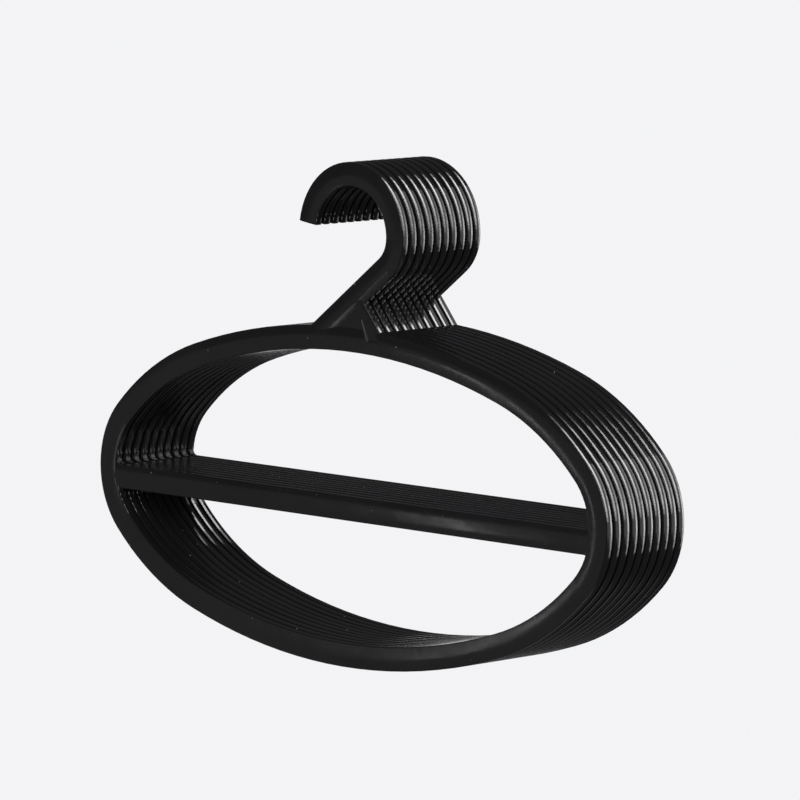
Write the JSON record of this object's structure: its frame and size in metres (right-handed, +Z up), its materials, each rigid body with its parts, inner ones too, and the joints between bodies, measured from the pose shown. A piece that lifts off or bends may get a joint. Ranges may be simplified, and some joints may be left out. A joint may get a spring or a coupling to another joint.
{
  "type": "scarf hanger set",
  "caption": "Set of moulded oval scarf hangers, each a ring with a cross bar, a sloping stem and an open hook, nested along a wardrobe rail.",
  "frame": {"origin": "on the axis of the hooks, halfway along the set", "axes": "+X along the ring's long axis, +Y along the rail towards the last hanger, +Z up"},
  "size_m": [0.26, 0.0408, 0.1845],
  "materials": {
    "black_plastic": "glossy black moulded plastic"
  },
  "bodies": {
    "hanger_01": {"hanger_01": "black_plastic"},
    "hanger_02": {"hanger_02": "black_plastic"},
    "hanger_03": {"hanger_03": "black_plastic"},
    "hanger_04": {"hanger_04": "black_plastic"},
    "hanger_05": {"hanger_05": "black_plastic"},
    "hanger_06": {"hanger_06": "black_plastic"},
    "hanger_07": {"hanger_07": "black_plastic"},
    "hanger_08": {"hanger_08": "black_plastic"},
    "hanger_09": {"hanger_09": "black_plastic"},
    "hanger_10": {"hanger_10": "black_plastic"}
  },
  "joints": [
    {"name": "hanger_02_swing", "type": "hinge", "parent": "hanger_01", "child": "hanger_02", "pos_m": [-0.0022, 0, 0.0048], "axis": [0, 1, 0], "range_deg": [-70, 70]},
    {"name": "hanger_03_swing", "type": "hinge", "parent": "hanger_01", "child": "hanger_03", "pos_m": [-0.0022, 0, 0.0048], "axis": [0, 1, 0], "range_deg": [-70, 70]},
    {"name": "hanger_04_swing", "type": "hinge", "parent": "hanger_01", "child": "hanger_04", "pos_m": [-0.0022, 0, 0.0048], "axis": [0, 1, 0], "range_deg": [-70, 70]},
    {"name": "hanger_05_swing", "type": "hinge", "parent": "hanger_01", "child": "hanger_05", "pos_m": [-0.0022, 0, 0.0048], "axis": [0, 1, 0], "range_deg": [-70, 70]},
    {"name": "hanger_06_swing", "type": "hinge", "parent": "hanger_01", "child": "hanger_06", "pos_m": [-0.0022, 0, 0.0048], "axis": [0, 1, 0], "range_deg": [-70, 70]},
    {"name": "hanger_07_swing", "type": "hinge", "parent": "hanger_01", "child": "hanger_07", "pos_m": [-0.0022, 0, 0.0048], "axis": [0, 1, 0], "range_deg": [-70, 70]},
    {"name": "rear_group_slide", "type": "slide", "parent": "hanger_01", "child": "hanger_08", "axis": [0, 1, 0], "range_m": [0, 0.2]},
    {"name": "hanger_09_swing", "type": "hinge", "parent": "hanger_08", "child": "hanger_09", "pos_m": [-0.0022, 0, 0.0048], "axis": [0, 1, 0], "range_deg": [-70, 70]},
    {"name": "hanger_10_swing", "type": "hinge", "parent": "hanger_08", "child": "hanger_10", "pos_m": [-0.0022, 0, 0.0048], "axis": [0, 1, 0], "range_deg": [-70, 70]}
  ]
}
